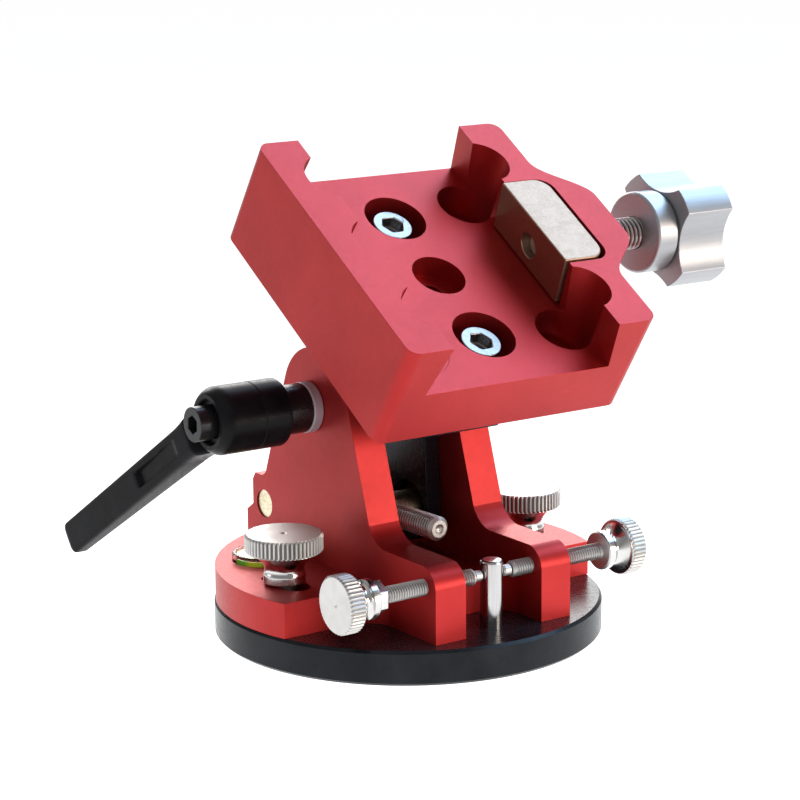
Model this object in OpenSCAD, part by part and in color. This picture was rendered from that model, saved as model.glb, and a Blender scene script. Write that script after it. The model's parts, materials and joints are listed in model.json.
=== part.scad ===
// Star tracker mount: an altitude-azimuth wedge that carries a dovetail saddle.
// Millimetres, +Z up. -Y is the front, and the altitude axis runs along X.
// The origin is the middle of the tripod thread, on the underside of the base disc.

/* [Base disc] */
// Diameter of the base disc
disc_d = 95; // [86:1:120]
// Thickness of the base disc
disc_h = 8.4; // [7:0.1:12]
// Bevel on both rims of the disc
disc_bevel = 0.6; // [0.2:0.1:1.5]
// Wall diameter of the 3/8-16 tripod thread
tripod_d = 9.5; // [6.3:0.1:9.6]
// Depth of the tripod thread
tripod_depth = 8; // [6:0.5:8]
// Outside diameter of the steel centre bush
bush_d = 16; // [14:0.5:20]
// Diameter of the azimuth peg
peg_d = 5.5; // [4:0.5:6]
// Length of the peg above the disc
peg_h = 16.2; // [14:0.1:18]
// Length of the peg inside the disc
peg_sunk = 6; // [4:0.5:6.5]

/* [Azimuth fork] */
// Thickness of the turning plate
plate_t = 8.5; // [8:0.1:11]
// How far the plate stays inside the disc rim
plate_inset = 0.3; // [0.1:0.1:2]
// Distance from the axis to the straight front edge of the lobes
lobe_front = 14.5; // [12:0.5:17]
// Distance from the axis to the end of the gap between the feet
gap_end = 23.8; // [22:0.5:27]
// Radius that the milling cutter leaves in corners
cutter_r = 7.7; // [5:0.1:8]
// Gap between the two arms
arm_gap = 22; // [20:0.5:28]
// Thickness of each arm
arm_t = 8.6; // [7:0.1:10]
// Distance from the axis to the front of the feet
foot_reach = 39.2; // [38:0.1:42]
// Height of the feet above the plate's top
foot_rise = 9.4; // [8:0.1:12]
// Round on the top front corner of the feet
foot_round = 5.6; // [2:0.1:7]
// Lean of the front edge of the arms
front_lean = 17.8; // [12:0.1:20]
// Lean of the back edge of the arms
back_lean = 20.8; // [16:0.1:24]
// Radius of the arm heads
head_r = 14.1; // [13:0.1:16]
// Distance from the axis to the rear face of the arms
rear_reach = 40; // [39:0.1:42]
// Height of the rear ledge above the plate's top
ledge_rise = 16.7; // [15:0.1:20]
// Angle that the fork turns each way
azimuth_swing = 6.5; // [4:0.5:7]

/* [Lock screws] */
// Radius of the circle that the lock screws stand on
lock_r = 35.7; // [33:0.1:37]
// Diameter of the lock screw heads
lock_head_d = 18.8; // [16:0.1:20]
// Diameter of the lock screw threads
lock_d = 5; // [4:1:6]

/* [Azimuth screws] */
// Distance from the axis to the azimuth screws
push_reach = 34.2; // [33:0.1:35]
// Height of the azimuth screws above the disc
push_rise = 12.8; // [11:0.1:14]
// Thread diameter of the azimuth screws
push_d = 4; // [3:0.5:5]
// Diameter of the azimuth screw heads
push_head_d = 13.9; // [12:0.1:16]
// Distance from the axis to the left screw's flange
push_left = 34; // [30:0.5:38]
// Distance from the axis to the right screw's flange
push_right = 32; // [30:0.5:38]

/* [Altitude] */
// Distance of the altitude axis behind the azimuth axis
pivot_y = 12.6; // [10:0.1:15]
// Height of the altitude axis above the plate's top
pivot_rise = 38.5; // [36:0.1:44]
// Diameter of the altitude bolt
bolt_d = 8; // [6:1:10]
// Tilt of the saddle as the mount stands
tilt = 32.6; // [20:0.1:40]
// Radius of the block's hub
hub_r = 11; // [10:0.5:12]
// Distance from the altitude axis to the saddle's underside
seat_rise = 28.9; // [26:0.1:34]
// Thickness of the block's head
head_t = 12; // [10:0.5:13]
// Length of the block's head
head_l = 54; // [52:1:60]
// Distance from the altitude axis to the nut barrel
nut_r = 28.8; // [28:0.1:30]
// Angle of the nut barrel in front of straight down
nut_lag = 7; // [4:0.5:10]
// Diameter of the nut barrel
nut_d = 9; // [8:0.5:10]

/* [Altitude screw] */
// Thread diameter of the altitude screw
alt_d = 6; // [5:1:6]
// Length of the screw in front of the rear barrel
alt_front = 48; // [46:0.5:52]
// Distance of the rear barrel behind the azimuth axis
barrel_y = 34.6; // [33:0.1:36]
// Height of the rear barrel above the plate's top
barrel_rise = 9.5; // [9:0.1:12]
// Diameter of the rear barrel's ends
barrel_end_d = 7; // [6:0.5:8]
// Diameter of the rear barrel between the arms
barrel_mid_d = 9.6; // [9:0.1:10.5]
// Diameter of the altitude knob
alt_knob_d = 14; // [12:0.5:14.5]

/* [Clamp lever] */
// Thickness of the washer under the lever
washer_t = 2.6; // [1.5:0.1:3]
// Diameter of the washer under the lever
washer_d = 12.4; // [11:0.1:16]
// Length of the lever's steel collar
collar_l = 7.3; // [5:0.1:10]
// Diameter of the lever's hub
lever_hub_d = 16.5; // [15:0.5:20]
// Length of the lever's hub
lever_hub_l = 19; // [17:0.1:26]
// Length of the lever's arm from the altitude axis
lever_l = 65; // [50:1:68]
// Width of the lever's arm
lever_w = 9.2; // [7:0.1:12]
// How far the lever's tip stands out past the hub
lever_crank = 11.5; // [8:0.5:14]
// Angle of the lever below level
lever_drop = 37; // [30:0.5:45]

/* [Saddle] */
// Length of the saddle
saddle_l = 74; // [68:1:90]
// Width of the saddle at its ends
saddle_w = 69.6; // [66:0.1:76]
// Thickness of the saddle under the slot
floor_t = 13.6; // [12:0.1:16]
// Height of the jaws above the slot's floor
wall_h = 13.4; // [12:0.1:15]
// Width of the dovetail slot at its floor
slot_floor_w = 52; // [50:0.1:54]
// Width of the dovetail slot between its lips
slot_lip_w = 46.6; // [45:0.1:48]
// Half spacing of the two saddle screws
saddle_screw_v = 21.1; // [19:0.1:22]
// Half spacing of the clearance bores
side_bore_v = 23.2; // [23:0.1:26]
// How far the boss for the clamp screw stands out
boss_out = 11.2; // [8:0.1:14]
// Distance of the saddle's middle in front of the altitude axis
saddle_v = 4; // [2:0.5:6]

/* [Saddle clamp] */
// Length of the moving jaw
jaw_l = 29; // [24:0.5:30]
// Height of the clamp screw above the slot's floor
clamp_w = 6; // [5.5:0.1:7]
// Thread diameter of the clamp screw
clamp_d = 8; // [6:1:8]
// Exposed thread between the boss and the knob
clamp_open = 10.3; // [7:0.1:14]
// Inward travel of the jaw
jaw_travel = 5; // [3:0.5:6]
// Diameter of the star knob
star_d = 29; // [24:0.2:34]
// Diameter of the star knob's flange
star_flange_d = 20; // [16:0.5:22]

/* [Level] */
// Outside diameter of the bubble level
level_d = 14.8; // [12:0.1:15]
// Distance of the level left of the azimuth axis
level_x = 29.2; // [28.6:0.1:31]
// Distance of the level behind the azimuth axis
level_y = 20.5; // [20:0.1:22]
// Height of the bubble level above the plate
level_proud = 2; // [0.5:0.1:3]

/* [Hidden] */
$fn = 72;
e = 0.01;
blend = 0.04;
run = 0.05;
gap = 0.3;
plate_top = disc_h + plate_t;
plate_r = disc_d / 2 - plate_inset;
bush_top = plate_top - 0.6;
arm_in = arm_gap / 2;
arm_out = arm_in + arm_t;
foot_top = plate_top + foot_rise;
pivot_z = plate_top + pivot_rise;
head_y = pivot_y - 2;
head_z = pivot_z + 0.6;
ledge_z = plate_top + ledge_rise;
ledge_round = 3;
heel_z = plate_top + 8.5;
heel_low = plate_top + 3.6;
heel_y = plate_r;
barrel_z = plate_top + barrel_rise;
push_z = disc_h + push_rise;
lock_slot_w = lock_d + 1.6;
lock_thread = 6;
flange_z = plate_top + gap;
block_half = arm_in - gap;
cheek_in = 6.5;
cheek_r = nut_d / 2 + 3.8;
nut_seat_r = nut_d / 2 + 2.4;
nut_y = pivot_y - nut_r * sin(nut_lag);
nut_z = pivot_z - nut_r * cos(nut_lag);
screw_rise = atan2(nut_z - barrel_z, barrel_y - nut_y);
nut_dist = norm([barrel_y - nut_y, nut_z - barrel_z]);
saddle_floor = seat_rise + floor_t;
half_l = saddle_l / 2;
half_w = saddle_w / 2;
lip = slot_lip_w / 2;
undercut = (slot_floor_w - slot_lip_w) / 2;
boss_face = half_w + boss_out;
boss_flat = 7;
boss_root = 21.5;
jaw_out = half_w;
jaw_in = lip - 1.1;
jaw_top = wall_h + 0.5;
pocket_gap = 0.4;
pocket_out = jaw_out + 1.3;
jaw_slope = undercut / wall_h;
knob_face = boss_face + clamp_open;
cap_head_h = 6;
cap_head_d = 10;
cap_d = 6;
cap_sink = 2;
cap_l = 16;
side_bore_r = 7.05;
lip_cut_r = 7.8;
insert_x = arm_out + washer_t;
hub_x = insert_x + collar_l;
hub_end = hub_x + lever_hub_l;
spline_r = 5.4;
lever_shift = 0.5;
lever_recess = 1.5;

// ---- helpers ----

// Turns a profile drawn in Y and Z into a slab from x0 to x1.
module slab(x0, x1) {
  translate([x0, 0, 0]) rotate([90, 0, 90]) linear_extrude(x1 - x0) children();
}

// A cylinder along X from x0 to x1.
module rod_x(r, x0, x1) {
  translate([x0, 0, 0]) rotate([0, 90, 0]) cylinder(r = r, h = x1 - x0);
}

// A body turned about X: its profile has the radius first and then the distance along X.
module turned_x() {
  rotate([0, 90, 0]) rotate_extrude() children();
}

// The frame that tilts with the saddle: its origin is on the altitude axis.
module on_tilt() {
  translate([0, pivot_y, pivot_z]) rotate([tilt, 0, 0]) children();
}

// The frame of the dovetail slot: its origin is the middle of the slot's floor.
module on_saddle() {
  on_tilt() translate([0, -saddle_v, saddle_floor]) children();
}

// The frame of the altitude screw: its origin is on the rear barrel's axis.
module on_screw() {
  translate([0, barrel_y, barrel_z]) rotate([-screw_rise, 0, 0]) children();
}

// Half section of a thumb screw: flange at the foot, hollow waist and knurled head.
module thumb_section(head_d, head_h, flange_d, flange_h, waist_h) {
  head_z0 = flange_h + waist_h;
  difference() {
    polygon([
      [0, 0], [flange_d / 2 - 0.3, 0], [flange_d / 2, 0.3], [flange_d / 2, flange_h],
      [head_d / 2 - 0.8, head_z0], [head_d / 2, head_z0 + 0.6],
      [head_d / 2, head_z0 + head_h - 0.5], [head_d / 2 - 0.5, head_z0 + head_h],
      [0, head_z0 + head_h]
    ]);
    translate([flange_d / 2 + waist_h * 0.34, flange_h + waist_h * 0.5]) circle(d = waist_h * 1.24);
  }
}

// ---- base ----

module base_disc() {
  color("#1b1c20") difference() {
    rotate_extrude($fn = 180) polygon([
      [0, 0], [disc_d / 2 - disc_bevel, 0], [disc_d / 2, disc_bevel],
      [disc_d / 2, disc_h - disc_bevel], [disc_d / 2 - disc_bevel, disc_h], [0, disc_h]
    ]);
    translate([0, 0, -e]) cylinder(d = bush_d, h = disc_h + 2 * e);
    translate([0, -push_reach, disc_h - peg_sunk]) cylinder(d = peg_d, h = peg_sunk + e);
    for (side = [-1, 1])
      translate([side * lock_r, 0, disc_h - lock_thread - 1])
        cylinder(d = lock_d + 2 * run, h = lock_thread + 1 + e);
  }
}

module tripod_bush() {
  color("silver") difference() {
    union() {
      cylinder(d = bush_d, h = disc_h);
      translate([0, 0, disc_h - e]) cylinder(d = bush_d - 2 * run, h = bush_top - disc_h + e);
    }
    translate([0, 0, -e]) cylinder(d = tripod_d, h = tripod_depth + e);
  }
}

module azimuth_peg() {
  top = peg_sunk + peg_h;
  color("silver") translate([0, -push_reach, disc_h - peg_sunk]) rotate_extrude() polygon([
    [0, 0], [peg_d / 2, 0], [peg_d / 2, top - 0.7], [peg_d / 2 - 0.7, top], [0, top]
  ]);
}

// ---- azimuth fork ----

// Outline of the plate: two round lobes, a web between the arms and filleted corners.
module plate_outline() {
  difference() {
    circle(r = plate_r, $fn = 180);
    translate([-plate_r - e, -plate_r - e]) square([2 * plate_r + 2 * e, plate_r - lobe_front + e]);
  }
  difference() {
    translate([-arm_out, -foot_reach]) square([2 * arm_out, foot_reach]);
    gap_outline();
  }
  for (side = [-1, 1]) scale([side, 1])
    translate([arm_out - e, -lobe_front - cutter_r]) difference() {
      square([cutter_r, cutter_r + e]);
      translate([cutter_r + e, 0]) circle(r = cutter_r + blend);
    }
}

// The gap between the feet, with the cutter's radius in its corners.
module gap_outline() {
  inner = arm_in - cutter_r;
  translate([-arm_in, -foot_reach - 1]) square([arm_gap, foot_reach + 1 - gap_end - cutter_r]);
  translate([-inner, -gap_end - cutter_r - e]) square([2 * inner, cutter_r + e]);
  for (side = [-1, 1])
    translate([side * inner, -gap_end - cutter_r]) circle(r = cutter_r + blend);
}

// Side outline of an arm, drawn in Y and Z.
module arm_outline() {
  fn = [-cos(front_lean), sin(front_lean)];
  bn = [cos(back_lean), sin(back_lean)];
  head = [head_y, head_z];
  ft = head + head_r * fn;
  bt = head + head_r * bn;
  knee = [ft[0] - (ft[1] - foot_top) * tan(front_lean), foot_top];
  step = [bt[0] + (bt[1] - ledge_z) * tan(back_lean), ledge_z];
  kz = foot_top + cutter_r;
  knee_c = [(kz * sin(front_lean) - ft * fn - cutter_r) / cos(front_lean), kz];
  sz = ledge_z + ledge_round;
  step_c = [(bt * bn + ledge_round - sz * sin(back_lean)) / cos(back_lean), sz];
  difference() {
    union() {
      polygon([
        [-foot_reach, disc_h], [-foot_reach, foot_top], knee, ft, head, bt, step,
        [rear_reach - 1.2, ledge_z], [rear_reach, ledge_z - 1.8], [rear_reach, disc_h]
      ]);
      translate(head) circle(r = head_r);
      difference() {
        polygon([knee_c, [knee_c[0], foot_top - e], knee, knee_c - cutter_r * fn]);
        translate(knee_c) circle(r = cutter_r + blend);
      }
      difference() {
        polygon([step_c, [step_c[0], ledge_z - e], step, step_c - ledge_round * bn]);
        translate(step_c) circle(r = ledge_round + blend);
      }
    }
    translate([-foot_reach - e, foot_top - foot_round]) difference() {
      square([foot_round + e, foot_round + e]);
      translate([foot_round + e, 0]) circle(r = foot_round + blend);
    }
  }
}

// Curved slot for a lock screw, on the left or the right lobe.
module lock_slot(side) {
  swing = azimuth_swing + 1;
  far = 2 * lock_r;
  intersection() {
    difference() {
      cylinder(r = lock_r + lock_slot_w / 2, h = plate_t + 2 * e);
      translate([0, 0, -e]) cylinder(r = lock_r - lock_slot_w / 2, h = plate_t + 4 * e);
    }
    linear_extrude(plate_t + 2 * e)
      polygon([[0, 0], far * [side * cos(swing), -sin(swing)], far * [side * cos(swing), sin(swing)]]);
  }
  for (turn = [-swing, swing])
    rotate([0, 0, turn]) translate([side * lock_r, 0, 0]) cylinder(r = lock_slot_w / 2 + blend, h = plate_t + 2 * e);
}

module azimuth_fork() {
  color("#d8222c") difference() {
    union() {
      translate([0, 0, disc_h]) linear_extrude(plate_t) plate_outline();
      for (x = [-arm_out, arm_in]) slab(x, x + arm_t) arm_outline();
      intersection() {
        for (x = [-arm_out, arm_in]) slab(x, x + arm_t) polygon([
          [rear_reach - 1, disc_h], [rear_reach - 1, heel_z], [rear_reach, heel_z],
          [heel_y, heel_low], [heel_y, disc_h]
        ]);
        cylinder(r = plate_r, h = heel_z + 1, $fn = 180);
      }
    }
    translate([0, 0, disc_h - e]) cylinder(d = bush_d, h = plate_t + 2 * e);
    for (side = [-1, 1]) translate([0, 0, disc_h - e]) lock_slot(side);
    translate([-level_x, level_y, plate_top - 5]) cylinder(d = level_d + 2 * run, h = 5 + e);
    translate([0, pivot_y, pivot_z]) rod_x(bolt_d / 2, -arm_out - e, arm_out + e);
    translate([0, barrel_y, barrel_z]) rod_x(barrel_end_d / 2 + run, -arm_out - e, arm_out + e);
    translate([0, -push_reach, push_z]) rod_x(push_d / 2 + run, -arm_out - e, arm_out + e);
  }
}

// ---- bubble level ----

module level_cup() {
  color("white", 0.5) translate([-level_x, level_y, plate_top - 5]) difference() {
    cylinder(d = level_d, h = 5 + level_proud);
    translate([0, 0, 1]) cylinder(d = level_d - 2, h = 5 + level_proud);
  }
}

module level_fluid() {
  color("#b6d234") translate([-level_x, level_y, plate_top - 4]) cylinder(d = level_d - 2, h = 3 + level_proud);
}

module level_window() {
  color("white", 0.5) translate([-level_x, level_y, plate_top + level_proud - 1])
    cylinder(d = level_d - 2, h = 0.8);
}

// ---- lock screws ----

module lock_screw(side) {
  color("silver") translate([side * lock_r, 0, flange_z]) {
    rotate_extrude() thumb_section(lock_head_d, 4.4, 10.2, 2.2, 5.4);
    translate([0, 0, disc_h - lock_thread - flange_z]) cylinder(d = lock_d, h = flange_z - disc_h + lock_thread + e);
  }
}

// ---- azimuth screws ----

// An azimuth screw on the left (-1) or right (1), with its flange at the given distance.
module azimuth_screw(side, flange) {
  tip = peg_d / 2 + gap + 2;
  color("silver") translate([0, -push_reach, push_z]) mirror([side > 0 ? 0 : 1, 0, 0]) {
    translate([flange, 0, 0]) turned_x() thumb_section(push_head_d, 4.2, 9.4, 1.9, 3.7);
    rod_x(push_d / 2, tip + gap, flange + e);
  }
}

// The loose thrust tip that stays still against the peg while its screw turns.
module azimuth_tip(side) {
  start = peg_d / 2 + gap;
  color("silver") translate([0, -push_reach, push_z]) mirror([side > 0 ? 0 : 1, 0, 0])
    turned_x() polygon([
      [0, start], [0.9, start], [1.3, start + 0.4], [1.3, start + 2], [0, start + 2]
    ]);
}

module azimuth_jam_nut() {
  color("silver") translate([-push_left, -push_reach, push_z]) difference() {
    rotate([0, 90, 0]) cylinder(d = 1.75 * push_d / cos(30), h = 2.4, $fn = 6);
    rod_x(push_d / 2, -e, 2.5);
  }
}

// ---- altitude block ----

// One cheek below the hub, drawn in Y and Z of the tilting frame.
module cheek_outline() {
  nut = nut_r * [-sin(nut_lag + tilt), -cos(nut_lag + tilt)];
  across = [cos(nut_lag + tilt), -sin(nut_lag + tilt)];
  polygon([-hub_r * across * 0.9, hub_r * across * 0.9, nut + cheek_r * across, nut - cheek_r * across]);
  translate(nut) circle(r = cheek_r);
  circle(r = hub_r);
}

module altitude_block() {
  head_v = -saddle_v - head_l / 2;
  nut = nut_r * [-sin(nut_lag + tilt), -cos(nut_lag + tilt)];
  color("#17181b") on_tilt() difference() {
    union() {
      slab(-block_half, block_half) {
        circle(r = hub_r);
        translate([head_v, seat_rise - head_t]) square([head_l, head_t]);
        polygon([
          [head_v + 6, seat_rise - head_t + e], [-hub_r, 0], [hub_r, 0],
          [head_v + head_l - 6, seat_rise - head_t + e]
        ]);
      }
      for (x = [-block_half, cheek_in]) slab(x, x + block_half - cheek_in) cheek_outline();
    }
    rod_x(bolt_d / 2 + run, -block_half - e, block_half + e);
    translate([0, nut[0], nut[1]]) rod_x(nut_seat_r, -block_half - e, block_half + e);
    for (v = [-saddle_screw_v, saddle_screw_v])
      translate([0, v - saddle_v, seat_rise - head_t + 1]) cylinder(d = cap_d, h = head_t);
  }
}

// ---- altitude bolt and clamp lever ----

module altitude_bolt() {
  bolt_end = hub_x + 6;
  color("silver") translate([0, pivot_y, pivot_z]) difference() {
    union() {
      rod_x(bolt_d / 2, -bolt_end, arm_out + 1.6 + e);
      rod_x(bolt_d * 0.8125, arm_out + 1.6, arm_out + 1.6 + bolt_d);
    }
    rotate([0, 90, 0]) translate([0, 0, arm_out + 1.6 + bolt_d / 2])
      cylinder(d = 6 / cos(30), h = bolt_d, $fn = 6);
  }
}

module bolt_washer() {
  color("silver") translate([0, pivot_y, pivot_z]) difference() {
    rod_x(bolt_d, arm_out, arm_out + 1.6);
    rod_x(bolt_d / 2, arm_out - e, arm_out + 1.7);
  }
}

module lever_washer() {
  color("#b9a9ad") translate([0, pivot_y, pivot_z]) difference() {
    rod_x(washer_d / 2, -insert_x, -arm_out);
    rod_x(bolt_d / 2, -insert_x - e, -arm_out + e);
  }
}

module lever_insert() {
  color("#202124") translate([0, pivot_y, pivot_z]) mirror([1, 0, 0]) difference() {
    union() {
      rod_x(washer_d / 2 - 0.15, insert_x + run, hub_x);
      rod_x(spline_r, hub_x - e, hub_end - 7);
    }
    rod_x(bolt_d / 2 + run, insert_x, hub_x + 6.5);
    rod_x(2.5, hub_end - 10, hub_end - 6);
  }
}

module clamp_lever() {
  hub_r1 = lever_hub_d / 2;
  half = lever_w / 2;
  far = hub_end + lever_crank;
  color("#141517") translate([0, pivot_y, pivot_z]) rotate([-lever_drop, 0, 0])
    mirror([1, 0, 0]) difference() {
      union() {
        rod_x(hub_r1, hub_x, hub_end);
        intersection() {
          slab(hub_x, hub_end + lever_crank + 2) translate([0, lever_shift]) polygon([
            [0, -hub_r1 + 1.6], [6, -half - 1.4], [14, -half], [lever_l - 1.2, -half + 0.5],
            [lever_l, -half + 1.7], [lever_l, half - 1.7], [lever_l - 1.2, half - 0.5], [14, half],
            [6, half + 1.4], [0, hub_r1 - 1.6]
          ]);
          translate([0, 0, -hub_r1]) linear_extrude(2 * hub_r1) polygon([
            [hub_x + 9.5, 0], [hub_end - e, 0], [hub_end - e, 5.8], [hub_end + 1.6, 8.4],
            [far, lever_l - 1.5], [far - 0.4, lever_l], [far - 3.6, lever_l],
            [far - 4.4, lever_l - 1.5], [hub_x + 11.5, hub_r1]
          ]);
        }
      }
      rod_x(spline_r, hub_x - e, hub_end - 7 + e);
      rod_x(2.6, hub_end - 8, hub_end);
      rod_x(5.4, hub_end - lever_recess, hub_end + 3);
    }
}

module lever_screw() {
  color("#2a2b2e") translate([0, pivot_y, pivot_z]) mirror([1, 0, 0]) difference() {
    union() {
      rod_x(2.45, hub_end - 9.3, hub_end - lever_recess + e);
      rod_x(4.2, hub_end - lever_recess, hub_end + 4);
    }
    translate([hub_end + 1, 0, 0]) rotate([0, 90, 0]) cylinder(d = 4 / cos(30), h = 4, $fn = 6);
  }
}

// ---- altitude screw ----

module rear_barrel() {
  color("#d9c79a") on_screw() difference() {
    union() {
      rod_x(barrel_end_d / 2, -arm_out + 0.4, arm_out - 0.4);
      rod_x(barrel_mid_d / 2, -block_half, block_half);
    }
    rotate([90, 0, 0]) cylinder(d = alt_d + 2 * run, h = 2 * barrel_mid_d, center = true);
  }
}

module altitude_screw() {
  color("silver") on_screw() rotate([90, 0, 0]) rotate_extrude() polygon([
    [0, -16], [alt_d / 2, -16], [alt_d / 2, alt_front - 3.2], [alt_d / 2 - 0.7, alt_front - 2.4],
    [alt_d / 2 - 0.7, alt_front - 0.4], [alt_d / 2 - 1.1, alt_front], [0, alt_front]
  ]);
}

// Two collars on the screw, one each side of the rear barrel.
module thrust_collar() {
  front = barrel_mid_d / 2 + 0.2;
  color("silver") on_screw() rotate([90, 0, 0]) for (z = [front, -front - 1.6]) translate([0, 0, z]) difference() {
    cylinder(d = alt_d + 3.4, h = 1.6);
    translate([0, 0, -e]) cylinder(d = alt_d, h = 1.6 + 2 * e);
  }
}

module altitude_knob() {
  front = barrel_mid_d / 2 + 1.8;
  color("silver") on_screw() translate([0, front, 0]) rotate([-90, 0, 0]) difference() {
    rotate_extrude() thumb_section(alt_knob_d, 5, 10, 1.8, 5);
    translate([0, 0, -e]) cylinder(d = alt_d, h = 16 - front + e);
  }
}

module nut_barrel() {
  color("#c9b27a") on_screw() translate([0, -nut_dist, 0]) difference() {
    rod_x(nut_d / 2, -block_half + 0.2, block_half - 0.2);
    rotate([90, 0, 0]) cylinder(d = alt_d + 2 * run, h = 2 * nut_d, center = true);
  }
}

// ---- saddle ----

// Half width of the saddle's clamp side at a distance v from its middle.
function clamp_side(v) =
  abs(v) <= boss_flat ? boss_face
  : abs(v) >= boss_root ? half_w
  : half_w + boss_out * (1 + cos(180 * (abs(v) - boss_flat) / (boss_root - boss_flat))) / 2;

// Plan of the saddle, with a boss on the clamp side and rounded corners.
module saddle_plan() {
  corner = 3;
  steps = 48;
  sweep = boss_root + 1;
  difference() {
    polygon(concat(
      [[-half_w, half_l], [-half_w, -half_l], [half_w, -half_l]],
      [for (i = [0:steps]) let (v = -sweep + 2 * sweep * i / steps) [clamp_side(v), v]],
      [[half_w, half_l]]
    ));
    for (sx = [-1, 1], sy = [-1, 1]) scale([sx, sy])
      translate([half_w - corner, half_l - corner]) difference() {
        square([corner + 1, corner + 1]);
        circle(r = corner);
      }
  }
}

// Plan of the moving jaw, square at the slot and rounded at the back, grown by a margin.
module jaw_plan(back, grow) {
  corner = 4.2;
  half = jaw_l / 2 + grow;
  translate([0, -half]) square([back - corner, 2 * half]);
  translate([0, -half + corner]) square([back, 2 * half - 2 * corner]);
  for (side = [-1, 1]) translate([back - corner, side * (half - corner)]) circle(r = corner);
}

module saddle() {
  color("#d8222c") on_saddle() difference() {
    intersection() {
      translate([0, 0, -floor_t]) linear_extrude(floor_t + wall_h) saddle_plan();
      rotate([90, 0, 0]) linear_extrude(saddle_l + 2, center = true) polygon([
        [-half_w - 1, -floor_t - 1], [-half_w - 1, wall_h + 1], [-lip + 1 * jaw_slope, wall_h + 1],
        [-lip - undercut, 0], [lip + undercut, 0], [lip - 1 * jaw_slope, wall_h + 1],
        [boss_face + 1, wall_h + 1], [boss_face + 1, -floor_t - 1]
      ]);
    }
    linear_extrude(wall_h + 1) intersection() {
      jaw_plan(pocket_out, pocket_gap);
      translate([lip - 1, -half_l]) square([boss_face, saddle_l]);
    }
    for (v = [-side_bore_v, side_bore_v]) translate([lip - 1.5, v, 0]) {
      translate([0, 0, -9]) cylinder(r = side_bore_r, h = wall_h + 10);
      translate([0, 0, -floor_t - e]) cylinder(r = 4.2, h = floor_t);
    }
    for (v = [-side_bore_v, 0, side_bore_v])
      translate([-lip + 3, v, -0.15]) cylinder(r = lip_cut_r, h = wall_h + 2);
    for (v = [-saddle_screw_v, saddle_screw_v]) translate([0, v, -cap_sink - cap_head_h]) {
      cylinder(d = 15.5, h = 12);
      translate([0, 0, -floor_t]) cylinder(d = cap_d + 0.6, h = floor_t + e);
    }
    translate([0, 0, -6]) cylinder(d = 13.2, h = 7);
    translate([0, 0, -floor_t - e]) cylinder(d = 6.6, h = floor_t);
    translate([0, 0, clamp_w]) rod_x(clamp_d / 2 + run, lip + 5, boss_face + e);
  }
}

// Two socket cap screws that hold the saddle on the block.
module saddle_screws() {
  color("silver") on_saddle() for (v = [-saddle_screw_v, saddle_screw_v])
    translate([0, v, -cap_sink - cap_head_h]) difference() {
      union() {
        cylinder(d = cap_head_d, h = cap_head_h);
        translate([0, 0, -cap_l]) cylinder(d = cap_d, h = cap_l + e);
      }
      translate([0, 0, cap_head_h - 3]) cylinder(d = 5 / cos(30), h = 4, $fn = 6);
    }
}

// ---- saddle clamp ----

module clamp_jaw() {
  foot = gap;
  color("#cfc3b4") on_saddle() difference() {
    intersection() {
      linear_extrude(jaw_top + 1) jaw_plan(jaw_out, 0);
      rotate([90, 0, 0]) linear_extrude(jaw_l + 2, center = true) polygon([
        [jaw_in + (jaw_top - foot) * jaw_slope, foot], [jaw_out + 1, foot], [jaw_out + 1, jaw_top],
        [jaw_in, jaw_top]
      ]);
    }
    translate([0, 0, clamp_w]) rod_x(3, lip - 4, jaw_out + 1);
  }
}

module clamp_screw() {
  color("silver") on_saddle() translate([0, 0, clamp_w]) {
    rod_x(3 - run, jaw_in + 4.4, jaw_out + 0.3);
    rod_x(clamp_d / 2, jaw_out + 0.25, knob_face + 9);
  }
}

module star_knob() {
  flange = 6;
  neck = 0.4;
  star = 14.2;
  lobes = 4;
  scoop_r = 0.47 * star_d;
  color("silver") on_saddle() translate([knob_face, 0, clamp_w]) difference() {
    union() {
      turned_x() polygon([
        [0, 0], [star_flange_d / 2 - 0.5, 0], [star_flange_d / 2, 0.5], [star_flange_d / 2, flange],
        [star_flange_d / 2 - 0.8, flange], [star_flange_d / 2 - 0.8, flange + neck + e],
        [0, flange + neck + e]
      ]);
      difference() {
        rod_x(star_d / 2, flange + neck, flange + neck + star);
        for (k = [0:lobes - 1]) rotate([66 + 360 * k / lobes, 0, 0])
          translate([0, 0, 0.82 * star_d]) rod_x(scoop_r, 0, flange + neck + star + 1);
      }
    }
    rod_x(clamp_d / 2, -e, 9);
  }
}

base_disc();
tripod_bush();
azimuth_peg();
azimuth_fork();
level_cup();
level_fluid();
level_window();
lock_screw(-1);  // lock_screw_left
lock_screw(1);  // lock_screw_right
azimuth_tip(-1);  // azimuth_tip_left
azimuth_screw(-1, push_left);  // azimuth_screw_left
azimuth_jam_nut();
azimuth_tip(1);  // azimuth_tip_right
azimuth_screw(1, push_right);  // azimuth_screw_right
altitude_block();
altitude_bolt();
bolt_washer();
lever_washer();
lever_insert();
clamp_lever();
lever_screw();
rear_barrel();
altitude_screw();
thrust_collar();
altitude_knob();
nut_barrel();
saddle();
saddle_screws();
clamp_jaw();
clamp_screw();
star_knob();
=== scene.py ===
import json
import math
import bmesh
import bpy
import numpy as np
from mathutils import Matrix, Vector


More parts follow.
